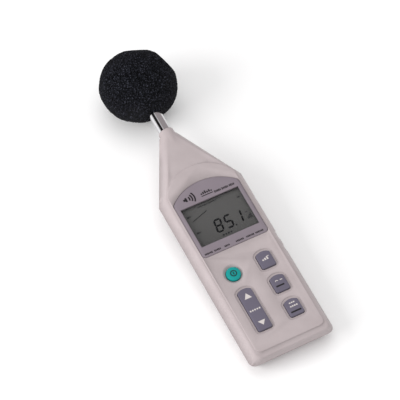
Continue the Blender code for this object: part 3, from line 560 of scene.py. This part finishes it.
node(tree, "OutputMaterial", {"Surface": skin.outputs["BSDF"]})
coat("lcd_glass", lcd_cell)


def stroke(bm, x, y, length, turn):
    """One bar of a digit: a thin six-sided plate with pointed ends."""
    half, tip = STROKE / 2, length / 2
    right = ((tip - half, -half), (tip, 0), (tip - half, half))
    left = ((half - tip, half), (-tip, 0), (half - tip, -half))
    corners = [bm.verts.new((u, v, 0)) for u, v in right + left]
    top = raise_faces(bm, [bm.faces.new(corners)], PRINT_THICK)
    verts = list({v for f in top for v in f.verts} | set(corners))
    shape = Matrix.Translation((x, y, 0)) @ Matrix.Rotation(turn, 4, "Z")
    bmesh.ops.transform(bm, matrix=shape, verts=verts)


bm = bmesh.new()
for i, (digit, lit) in enumerate(READING):
    for letter in lit:
        x, y, upright = BARS[letter]
        length = (DIGIT_HEIGHT / 2 if upright else DIGIT_WIDTH) - STROKE_GAP
        stroke(bm, FIRST_DIGIT_X + DIGIT_PITCH * i + x, y, length, math.pi / 2 if upright else 0.0)
bmesh.ops.recalc_face_normals(bm, faces=bm.faces)
shear = Matrix.Identity(4)
shear[0][1] = SLANT
bmesh.ops.transform(bm, matrix=Matrix.Translation((0, DIGIT_BASE_Y, SIGN_Z)) @ shear, verts=bm.verts)
bar(bm, FIRST_DIGIT_X + 1.55 * DIGIT_PITCH, DIGIT_BASE_Y, POINT_SIZE, POINT_SIZE, SIGN_Z)
# Lit segments: near black, with hardly any shine behind the lens.
lcd_black = moulded("lcd_segment_black", "#101012", 0.4, 0.3, 0.002, "#1C1C1F", 0.4, 0.08)
lcd_digits = lay_down(bm, "lcd_digits", lcd_black)
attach(lcd_digits, "meter")

# A slanting pointer, a small wedge of steps with two marks, and rows of plain marks round it.
bm = bmesh.new()
bar(bm, -13.0, 127.6, 15.0, 0.7, SIGN_Z, turn=math.atan2(4.6, 14.6))
for i, height in enumerate((1.2, 2.2, 3.2, 4.2)):
    bar(bm, 20.0 + 1.05 * i, 109.6 + height / 2, 0.75, height, SIGN_Z)
bar(bm, 21.2, 115.6, 1.6, 0.7, SIGN_Z)
bar(bm, 21.8, 129.8, 2.0, 1.0, SIGN_Z)
for i, wide in enumerate((1.5, 1.1, 1.7, 1.2)):
    bar(bm, -3.9 + 2.2 * i, 105.4, wide, 1.5, SIGN_Z)
for i in range(9):
    bar(bm, -10.4 + 1.9 * i, 134.9, 1.2 if i % 3 else 1.5, 0.7 + 0.5 * (i % 2), SIGN_Z)
for x, y in ((-21.8, 130.2), (-20.9, 115.0)):
    for i, wide in enumerate((1.8, 1.1)):
        bar(bm, x + 1.9 * i, y, wide, 1.6 - 0.5 * i, SIGN_Z)
# Weakly lit segments: only a little darker than the cell.
lcd_faint = moulded("lcd_segment_faint", "#2E2E30", 0.4, 0.3, 0.002, "#3A3A3C", 0.4, 0.08)
lcd_signs = lay_down(bm, "lcd_signs", lcd_faint)
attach(lcd_signs, "meter")

# Polycarbonate with a fine grain: dull black. Silicone rubber: soft looking, dull mid grey.
frame_black = moulded("pc_black_fine_grain", "#1E1E20", 0.5, 0.4, 0.02, "#2C2C2E", 0.3)
silicone = moulded("silicone_rubber_grey", "#9A9A9C", 0.65, 0.6, 0.01, "#8A8A8C", 0.3)
coat("lcd_frame", frame_black)
coat("elastomer_strip_1", silicone)
coat("elastomer_strip_2", silicone)


# ---------------------------------------------------------------- keys
# Purple grey ABS caps with arched heads and pad printed signs. Each rests on the silicone
# mat and is pressed straight in, held by a hidden rim under the case, or rocks, without one.
KEY_X, KEY_ROWS = 13.8, {"max_key": 71.7, "weighting_key": 49.4, "response_key": 27.1}
KEY_HALF, KEY_HEIGHT, KEY_ARCH, KEY_CORNER = 5.95, 14.3, 9.0, 1.6
KEY_BACK_Z, KEY_RIM_Z, KEY_TOP_Z = 17.1, 17.9, 21.9
KEY_RIM, KEY_ROUND, KEY_ROUND_STEPS = 0.9, 0.7, 6
LEVEL_X, LEVEL_Y, LEVEL_LENGTH = -13.8, 38.4, 37.0
# Rings of a key's foot: how far it stands out, and its height.
RIMMED_FOOT = ((KEY_RIM, KEY_BACK_Z), (KEY_RIM, KEY_RIM_Z), (0.0, KEY_RIM_Z))
PLAIN_FOOT = ((0.0, KEY_BACK_Z), (0.0, KEY_RIM_Z))
# Pale bars of each key's sign, from the key's middle: place across and along, width, height.
PALE_BARS = {
    "max_key": ((-2.2, -0.3, 1.3, 1.2), (-0.3, 0.05, 1.3, 1.9), (1.6, 0.4, 1.3, 2.6), (2.8, 1.7, 1.6, 0.5)),
    "weighting_key": ((2.3, 2.0, 2.0, 0.7),),
    "response_key": tuple((-1.6 + 1.7 * i, 3.6, 1.2, 1.0) for i in range(3))
    + tuple((-2.2 + 1.7 * i, 0.6, 1.2, 1.1) for i in range(4)),
}
DARK_BARS = {"weighting_key": (-0.6, -2.3, 6.8, 1.3), "response_key": (0.0, -3.9, 8.6, 1.3)}
# Tips and bases of the level key's triangles, and the thickness of its faint middle bars.
TRIANGLES, TRIANGLE_HALF = ((14.2, 9.4), (-14.8, -10.8)), 3.0
FAINT_THICK = 0.02


def key_cap(x, y, height, foot):
    """A cap with a rounded edge round its top, bridged ring by ring from the rings of its foot."""
    rings = list(foot)
    for i in range(KEY_ROUND_STEPS + 1):
        turn = i / KEY_ROUND_STEPS * math.pi / 2
        rings.append((KEY_ROUND * (math.cos(turn) - 1), KEY_TOP_Z - KEY_ROUND * (1 - math.sin(turn))))
    bm = bmesh.new()
    faces = []
    for grow, z in rings:
        low, high = y - height / 2 - grow, y + height / 2 + grow
        faces.append(tombstone(bm, x, low, high, KEY_HALF + grow, KEY_ARCH + grow, KEY_CORNER + grow, z))
    for lower, upper in zip(faces, faces[1:]):
        bmesh.ops.bridge_loops(bm, edges=list(lower.edges) + list(upper.edges))
    bmesh.ops.delete(bm, geom=faces[1:-1], context="FACES_ONLY")
    bmesh.ops.recalc_face_normals(bm, faces=bm.faces)
    if bm.calc_volume(signed=True) < 0:
        bmesh.ops.reverse_faces(bm, faces=bm.faces)
    return bm


# Satin ABS: an even low sheen that is brightest on the rounded edge.
key_abs = moulded("abs_satin_purple_grey", "#65606F", 0.45, 0.45, 0.02, "#57515F", 0.3, 0.3)
for name, y in KEY_ROWS.items():
    cap = lay_down(key_cap(KEY_X, y, KEY_HEIGHT, RIMMED_FOOT), name + "_cap", key_abs)
    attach(cap, name)
    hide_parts(name)
level_cap = lay_down(key_cap(LEVEL_X, LEVEL_Y, LEVEL_LENGTH, PLAIN_FOOT), "level_key_cap", key_abs)
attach(level_cap, "level_key")
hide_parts("level_key")

# Pad print inks, flat and thin: an ivory that stands out from the cap, and a black that sinks in.
pale_ink = moulded("pad_print_ink_ivory", "#CBC4C1", 0.5, 0.3, 0.004, "#B5AEAC", 0.4)
dark_ink = moulded("pad_print_ink_black", "#17151A", 0.45, 0.3, 0.004, "#26232A", 0.4)
signs = {}
for name, bars in PALE_BARS.items():
    signs[name] = bmesh.new()
    for x, y, width, height in bars:
        bar(signs[name], KEY_X + x, KEY_ROWS[name] + y, width, height, KEY_TOP_Z)
curve_x, curve_y = KEY_X - 1.5, KEY_ROWS["weighting_key"] + 1.6
ring(signs["weighting_key"], curve_x, curve_y, 0.7, 1.25, KEY_TOP_Z, 0.0, math.pi, 10)
signs["level_key"] = bm = bmesh.new()
for tip, base in TRIANGLES:
    corners = [
        bm.verts.new((LEVEL_X + x, LEVEL_Y + y, KEY_TOP_Z))
        for x, y in ((-TRIANGLE_HALF, base), (TRIANGLE_HALF, base), (0.0, tip))
    ]
    raise_faces(bm, [bm.faces.new(corners)], PRINT_THICK)
for i in range(5):
    bar(bm, LEVEL_X - 3.8 + 1.9 * i, LEVEL_Y - 1.0, 1.2, 1.2, KEY_TOP_Z, thick=FAINT_THICK)
for name, bm in signs.items():
    bmesh.ops.recalc_face_normals(bm, faces=bm.faces)
    sign = lay_down(bm, name + "_sign", pale_ink)
    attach(sign, name)
for name, (x, y, width, height) in DARK_BARS.items():
    bm = bmesh.new()
    bar(bm, KEY_X + x, KEY_ROWS[name] + y, width, height, KEY_TOP_Z)
    mark = lay_down(bm, name + "_bar", dark_ink)
    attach(mark, name)


# ---------------------------------------------------------------- power key
# A round teal dome moulded in gloss ABS, with a printed on-off sign. It is pressed
# straight in, at the foot of a dish in the case.
POWER_X, POWER_Y = -13.8, 71.6
# Radius and height, from the middle of the back over the hidden rim to the top of the dome.
POWER_PROFILE = (
    (0, 17.1),
    (6.6, 17.1),
    (6.6, 17.9),
    (5.7, 17.9),
    (5.7, 20.6),
    (5.6, 20.85),
    (5.35, 21.05),
    (4.9, 21.2),
    (3.6, 21.42),
    (1.8, 21.56),
    (0, 21.6),
)
POWER_RING, POWER_RING_Z, POWER_RING_THICK = (1.8, 2.7), 21.52, 0.06
POWER_BAR, POWER_BAR_Z, POWER_BAR_THICK = (0.9, 2.5), 21.54, 0.08


def turned(profile, steps, matrix):
    """Spins a profile of radius and height points round the Z axis, then places it."""
    bm = bmesh.new()
    points = [bm.verts.new((radius, 0, height)) for radius, height in profile]
    lines = [bm.edges.new(pair) for pair in zip(points, points[1:])]
    bmesh.ops.spin(
        bm, geom=points + lines, cent=(0, 0, 0), axis=(0, 0, 1), angle=math.tau, steps=steps, use_merge=True
    )
    bmesh.ops.remove_doubles(bm, verts=bm.verts, dist=LEVEL_NEAR)
    bmesh.ops.recalc_face_normals(bm, faces=bm.faces)
    bmesh.ops.transform(bm, matrix=matrix, verts=bm.verts)
    return bm


# Gloss ABS: a clear teal with a small bright reflection on the dome.
power_teal = moulded("abs_gloss_teal", "#00928F", 0.3, 0.5, 0.01, "#007E7C", 0.3, 0.35)
dome = turned(POWER_PROFILE, 64, Matrix.Translation((POWER_X, POWER_Y, 0)))
power_cap = lay_down(dome, "power_key_cap", power_teal)
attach(power_cap, "power_key")
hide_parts("power_key")

bm = bmesh.new()
ring(bm, POWER_X, POWER_Y, *POWER_RING, POWER_RING_Z, 0.0, math.tau, 32, thick=POWER_RING_THICK)
bar(bm, POWER_X, POWER_Y, *POWER_BAR, POWER_BAR_Z, thick=POWER_BAR_THICK)
bmesh.ops.recalc_face_normals(bm, faces=bm.faces)
# Pad print ink: a flat teal so deep that it reads as black.
power_ink = moulded("pad_print_ink_deep_teal", "#0A3436", 0.45, 0.3, 0.004, "#0C2A2C", 0.4)
power_sign = lay_down(bm, "power_key_sign", power_ink)
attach(power_sign, "power_key")


# ---------------------------------------------------------------- circuit boards, chip and key mat
# The main board is screwed under the front case with the silicone mat of the keys on it,
# and the small preamplifier board sits in the microphone tube. None of them is in sight.
TRACKS_PER_MM = 0.35

# FR4 under solder mask: glossy green with paler tracks, which are drawn wider than real ones.
board_green, tree = new_material("fr4_green_solder_mask")
tracks = node(
    tree,
    "TexBrick",
    {
        "Vector": own_place(tree),
        "Scale": TRACKS_PER_MM,
        "Mortar Size": 0.03,
        "Color1": srgb("#145A32"),
        "Color2": srgb("#17633A"),
        "Mortar": srgb("#1F7A48"),
    },
)
skin = node(tree, "BsdfPrincipled", {"Base Color": tracks.outputs["Color"], "Roughness": 0.35, "IOR": 1.5})
node(tree, "OutputMaterial", {"Surface": skin.outputs["BSDF"]})
coat("main_board", board_green)
coat("preamp_board", board_green)
coat("main_chip", frame_black)
coat("key_mat", silicone)


# ---------------------------------------------------------------- sockets, trimmer, screws and bush
# Two black plastic sockets and a trimmer with a slotted brass rotor at the right side,
# plated steel screws, and a brass tripod bush that is pressed into the back.
LINE_STRETCH = (0.3, 3, 0.3)
METAL_SWING, LEAST_ROUGHNESS = 0.05, 0.02


def metal(name, code, roughness, grain, relief):
    """Plated or turned metal, with fine tool marks that also vary the gloss."""
    made, tree = new_material(name)
    place = own_place(tree, stretch=LINE_STRETCH)
    lines = node(tree, "TexNoise", {"Vector": place, "Scale": 1 / grain, "Detail": 2.0})
    gloss = node(
        tree,
        "MapRange",
        {
            "Value": lines.outputs["Fac"],
            "To Min": max(roughness - METAL_SWING, LEAST_ROUGHNESS),
            "To Max": roughness + METAL_SWING,
        },
    )
    bump = node(
        tree, "Bump", {"Height": lines.outputs["Fac"], "Strength": 1.0, "Distance": relief * MM}
    )
    skin = node(
        tree,
        "BsdfPrincipled",
        {
            "Base Color": srgb(code),
            "Metallic": 1.0,
            "Roughness": gloss.outputs["Result"],
            "Normal": bump.outputs["Normal"],
        },
    )
    node(tree, "OutputMaterial", {"Surface": skin.outputs["BSDF"]})
    return made


# Zinc plate: cool pale grey with a soft gleam. Turned brass: warm yellow with fine tool marks.
zinc = metal("zinc_plated_steel", "#B9B9BC", 0.32, 1.2, 0.004)
brass = metal("brass_turned", "#C8A25A", 0.3, 0.8, 0.006)
for name in ("output_jack", "power_jack", "trimmer_body"):
    coat(name, frame_black)
for name in ("trimmer_rotor", "tripod_bush"):
    coat(name, brass)
for i in range(4):
    coat(f"case_screw_{i + 1}", zinc)
for i in range(2):
    coat(f"board_screw_{i + 1}", zinc)


# ---------------------------------------------------------------- battery cells and contacts
# Four standard AAA cells in a bay under the door, steel cans in a printed sleeve, between
# nickel plated contact plates and conical springs.
BAND_Y = -96.0

# Printed sleeve: smooth dark blue grey, with a pale band towards one end, measured along the
# meter from the middle of the whole.
sleeve, tree = new_material("printed_cell_sleeve")
split = node(tree, "SeparateXYZ", {"Vector": own_place(tree, turn=back_to_meter)})
band = node(tree, "Math", {0: split.outputs["Y"], 1: BAND_Y}, operation="GREATER_THAN")
tone = node(
    tree,
    "Mix",
    {"Factor": band.outputs["Value"], "A": srgb("#2B3442"), "B": srgb("#C9CCD2")},
    data_type="RGBA",
)
skin = node(tree, "BsdfPrincipled", {"Base Color": tone.outputs["Result"], "Roughness": 0.3, "IOR": 1.5})
node(tree, "OutputMaterial", {"Surface": skin.outputs["BSDF"]})
# Nickel plate: a warmer and brighter gleam than zinc.
nickel = metal("nickel_plated_spring_steel", "#C9C2B6", 0.25, 1.2, 0.003)
for i in range(4):
    coat(f"battery_cell_{i + 1}", sleeve)
    coat(f"contact_spring_{i + 1}", nickel)
for name in ("base_contact_left", "base_contact_right"):
    coat(name, nickel)
for name in ("top_contact_negative", "top_contact_middle", "top_contact_positive"):
    coat(name, nickel)


# ---------------------------------------------------------------- microphone
# A bright chromed tube in a black rubber seal, with a nickel capsule and a slotted grid
# at its tip, which the windscreen hides until it is pulled off.
AXIS_Z = 10.5
TUBE_RADIUS, TUBE_BORE, TUBE_LOW, TUBE_HIGH = 5.3, 4.6, 188.0, 238.0
LOW_ROUND, HIGH_ROUND = 0.1, 0.15
SCUFFS_PER_MM = 0.16

# Polished chrome: dark and pale streaks of what stands round it, with faint scuffs in the gloss.
chrome, tree = new_material("chromed_steel_bright")
scuff = node(tree, "TexNoise", {"Vector": own_place(tree), "Scale": SCUFFS_PER_MM, "Detail": 4.0})
gloss = node(tree, "MapRange", {"Value": scuff.outputs["Fac"], "To Min": 0.05, "To Max": 0.14})
skin = node(
    tree,
    "BsdfPrincipled",
    {"Base Color": srgb("#DCDBDD"), "Metallic": 1.0, "Roughness": gloss.outputs["Result"]},
)
node(tree, "OutputMaterial", {"Surface": skin.outputs["BSDF"]})
profile = (
    (TUBE_BORE, TUBE_LOW),
    (TUBE_RADIUS - LOW_ROUND, TUBE_LOW),
    (TUBE_RADIUS, TUBE_LOW + LOW_ROUND),
    (TUBE_RADIUS, TUBE_HIGH - HIGH_ROUND),
    (TUBE_RADIUS - HIGH_ROUND, TUBE_HIGH),
    (TUBE_BORE, TUBE_HIGH),
    (TUBE_BORE, TUBE_LOW),
)
tube = turned(profile, 96, Matrix.Translation((0, 0, AXIS_Z)) @ Matrix.Rotation(-math.pi / 2, 4, "X"))
stem = lay_down(tube, "microphone_stem", chrome)
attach(stem, "meter")
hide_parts("mic_tube")
# Rubber: matt black with no highlight. Fine turned nickel: a bright, slightly warm gleam.
rubber = moulded("rubber_black_matt", "#1A1A1B", 0.75, 0.5, 0.02, "#262627", 0.3)
capsule_nickel = metal("nickel_fine_turned", "#C4C1BC", 0.22, 0.6, 0.004)
coat("neck_seal", rubber)
coat("mic_capsule", capsule_nickel)
coat("mic_grid", capsule_nickel)


# ---------------------------------------------------------------- foam windscreen
# A ball ground from charcoal open-cell polyurethane foam with a blind bore for the
# microphone. It is firm, keeps slight flats from grinding, and is pressed flat where it rests.
BALL_Y, BALL_RADIUS, BORE_RADIUS, BORE_END = 256.0, 29.85, 5.6, 266.0
BORE_STATIONS = (-22.0, -12.0, -2.0, BORE_END - BALL_Y)
# The ball is slightly oval: wider one way and narrower across it.
BALL_WIDE, BALL_DEEP = Vector((0.88, -0.47, 0.0)), Vector((0.47, 0.88, 0.0))
WIDER, NARROWER = 0.045, 0.03
# Each flat's facing and its distance as a share of the radius, and how far it is pressed in.
BALL_FLATS = (((0.9, 0.2, 0.38), 0.95), ((0.3, 0.78, 0.55), 0.965), ((-0.45, -0.75, 0.1), 0.97))
FLAT_PRESS = 0.75
# Width and height of the skin's lumps, ripples and rags, and of its pores.
LUMP, RIPPLE, RAG = (16.0, 0.5), (6.0, 0.25), (0.9, 0.35)
PORE, PORE_DEPTH, PORE_WALL, SKIN_LIFT = 1.5, 0.45, 2.2, 0.15
TABLE_GAP = 0.02
PORES_PER_MM, GLINTS_PER_MM, PORE_RELIEF = 0.75, 0.9, 0.7
FOAM_CREASE = 80


def swell(place, lump):
    """Height of a smooth random lump of a width and height, at a place on the ball."""
    width, height = lump
    return height * noise.noise(place / width)


bm = bmesh.new()
bmesh.ops.create_icosphere(bm, subdivisions=7, radius=BALL_RADIUS)
middles = {face: face.calc_center_median() for face in bm.faces}
mouth = [face for face, at in middles.items() if at.y < 0 and at.xz.length < BORE_RADIUS]
bmesh.ops.delete(bm, geom=mouth, context="FACES")
rim = [e for e in bm.edges if e.is_boundary]
for vert in {v for e in rim for v in e.verts}:
    vert.co.xz = vert.co.xz.normalized() * BORE_RADIUS
skin_verts = [v for v in bm.verts if not v.is_boundary]
for vert in skin_verts:
    gaps = noise.voronoi(vert.co / PORE)[0]
    wall = min(1.0, PORE_WALL * (gaps[1] - gaps[0]))
    height = swell(vert.co, LUMP) + swell(vert.co, RIPPLE) + swell(vert.co, RAG)
    vert.co += vert.co.normalized() * (height - PORE_DEPTH * wall + SKIN_LIFT)
for vert in skin_verts:
    for way, reach in BALL_FLATS:
        facing = Vector(way).normalized()
        beyond = vert.co.dot(facing) - reach * BALL_RADIUS
        if beyond > 0:
            vert.co -= facing * beyond * FLAT_PRESS
    wide, deep = vert.co.dot(BALL_WIDE), vert.co.dot(BALL_DEEP)
    vert.co += BALL_WIDE * wide * WIDER - BALL_DEEP * deep * NARROWER
loop = rim
for y in BORE_STATIONS:
    pulled = bmesh.ops.extrude_edge_only(bm, edges=loop)["geom"]
    loop = [e for e in pulled if isinstance(e, bmesh.types.BMEdge)]
    for vert in {v for e in loop for v in e.verts}:
        vert.co.y = y
bmesh.ops.contextual_create(bm, geom=loop)
bmesh.ops.recalc_face_normals(bm, faces=bm.faces)
bmesh.ops.transform(bm, matrix=lie @ Matrix.Translation((0, BALL_Y, AXIS_Z)), verts=bm.verts)
for vert in bm.verts:
    vert.co.z = max(vert.co.z, TABLE_GAP * MM)

# Open-cell foam: dead matt, with paler walls and painted shade that makes it nearly black in its pores, and
# a few painted glints of light.
# The pores are drawn about twice as wide as real ones, which are too fine to show.
foam, tree = new_material("polyurethane_foam_charcoal")
place = own_place(tree)
pores = node(tree, "TexVoronoi", {"Vector": place, "Scale": PORES_PER_MM}, feature="F1")
glint_noise = node(tree, "TexNoise", {"Vector": place, "Scale": GLINTS_PER_MM, "Detail": 2.0})
# Painted shade: the foam turns nearly black towards the middle of each pore.
share = node(tree, "MapRange", {"Value": pores.outputs["Distance"], "From Min": 0.3, "From Max": 0.8})
tone = node(
    tree,
    "Mix",
    {"Factor": share.outputs["Result"], "A": srgb("#000001"), "B": srgb("#16171D")},
    data_type="RGBA",
)
# Painted highlight: sparse pale glints of light on the foam's cell walls.
glint = node(
    tree,
    "MapRange",
    {"Value": glint_noise.outputs["Fac"], "From Min": 0.57, "From Max": 0.66, "To Max": 0.9},
)
tone = node(
    tree,
    "Mix",
    {"Factor": glint.outputs["Result"], "A": tone.outputs["Result"], "B": srgb("#3C3D47")},
    data_type="RGBA",
)
bump = node(
    tree, "Bump", {"Height": share.outputs["Result"], "Strength": 1.0, "Distance": PORE_RELIEF * MM}
)
skin = node(
    tree,
    "BsdfPrincipled",
    {
        "Base Color": tone.outputs["Result"],
        "Roughness": 0.95,
        "Normal": bump.outputs["Normal"],
        "Specular IOR Level": 0.2,
    },
)
node(tree, "OutputMaterial", {"Surface": skin.outputs["BSDF"]})
ball = lay_down(bm, "foam_ball", foam, Matrix(), FOAM_CREASE)
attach(ball, "windscreen")
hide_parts("windscreen")
